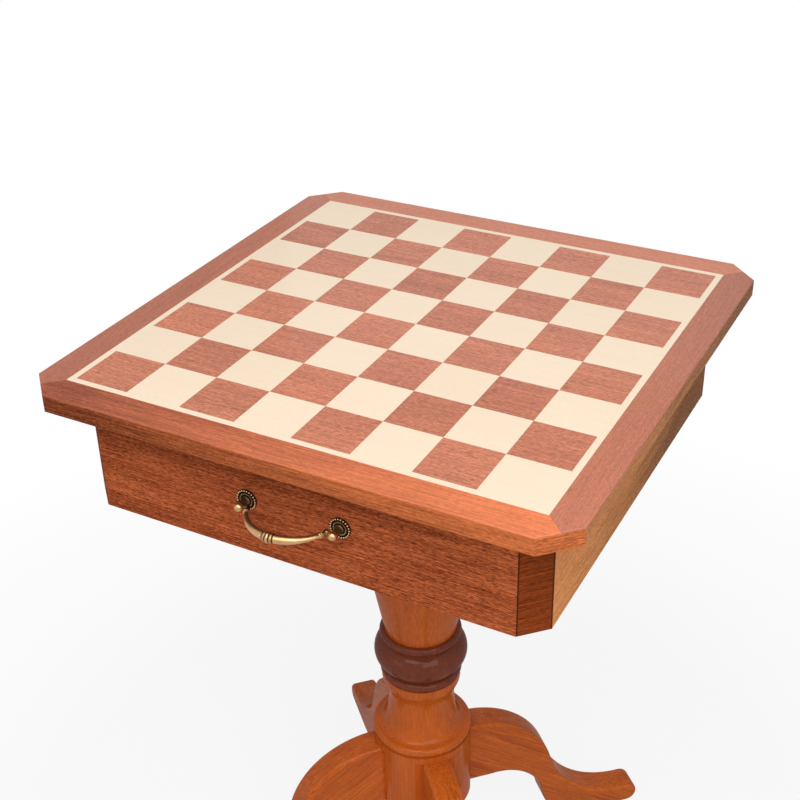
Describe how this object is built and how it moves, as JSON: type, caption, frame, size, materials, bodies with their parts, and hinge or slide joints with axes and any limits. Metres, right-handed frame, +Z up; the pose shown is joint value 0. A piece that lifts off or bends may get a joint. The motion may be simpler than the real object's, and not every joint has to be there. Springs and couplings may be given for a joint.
{
  "type": "chess table",
  "caption": "Square pedestal chess table with an inlaid chequered top, canted corners, a drawer with a brass bail pull, and a turned column on curved legs.",
  "frame": {"origin": "on the floor, on the column's axis, under the middle of the top", "axes": "+Z up through the column to the playing surface; the drawer opens towards -Y; +X to the right of a player facing the drawer side"},
  "size_m": [0.54, 0.5508, 0.74],
  "materials": {
    "sapele": "gloss lacquer over sapele veneer",
    "dark_veneer": "gloss lacquer over sapele veneer",
    "maple_veneer": "gloss lacquer over maple veneer",
    "core_board": "bare board, hidden",
    "carcass_wood": "satin lacquer",
    "turned_wood": "gloss lacquer over stained beech",
    "turned_dark": "gloss lacquer over dark stained beech",
    "antique_brass": "antiqued, dark in the hollows",
    "steel": "zinc plated",
    "glide_plastic": "matt moulded"
  },
  "bodies": {
    "table": {"border_front": "sapele", "border_right": "sapele", "border_back": "sapele", "border_left": "sapele", "edge_front": "sapele", "edge_right": "sapele", "edge_back": "sapele", "edge_left": "sapele", "edge_corners": "sapele", "apron_right": "sapele", "apron_back": "sapele", "apron_left": "sapele", "corner_panel_front_right": "sapele", "corner_panel_back_right": "sapele", "corner_panel_back_left": "sapele", "corner_panel_front_left": "sapele", "dark_squares": "dark_veneer", "light_squares": "maple_veneer", "stringing": "maple_veneer", "top_core": "core_board", "bottom_board": "carcass_wood", "top_batten_right": "carcass_wood", "top_batten_left": "carcass_wood", "top_batten_back": "carcass_wood", "runner_right": "carcass_wood", "runner_left": "carcass_wood", "drawer_stops": "carcass_wood", "column_plate": "turned_wood", "column_vase": "turned_wood", "column_base": "turned_wood", "leg_front_right": "turned_wood", "leg_back_right": "turned_wood", "leg_back_left": "turned_wood", "leg_front_left": "turned_wood", "column_collar": "turned_dark", "top_screws": "steel", "stop_screws": "steel", "runner_screws": "steel", "plate_screws": "steel", "leg_plate_screws": "steel", "leg_plate": "steel", "tie_rod": "steel", "tie_nuts": "steel", "tie_washers": "steel", "foot_glides": "glide_plastic"},
    "drawer": {"drawer_front": "sapele", "drawer_box_front": "carcass_wood", "drawer_back": "carcass_wood", "drawer_side_right": "carcass_wood", "drawer_side_left": "carcass_wood", "drawer_bottom": "carcass_wood", "drawer_front_screws": "steel", "rosette_right": "antique_brass", "rosette_left": "antique_brass", "handle_post_right": "antique_brass", "handle_post_left": "antique_brass", "pull_screws": "steel"},
    "bail": {"handle_bail": "antique_brass"}
  },
  "joints": [
    {"name": "drawer_slide", "type": "slide", "parent": "table", "child": "drawer", "axis": [0, -1, 0], "range_m": [0, 0.3]},
    {"name": "bail_swing", "type": "hinge", "parent": "drawer", "child": "bail", "pos_m": [0, -0.247, 0.6645], "axis": [-1, 0, 0], "range_deg": [-100, 100]}
  ]
}
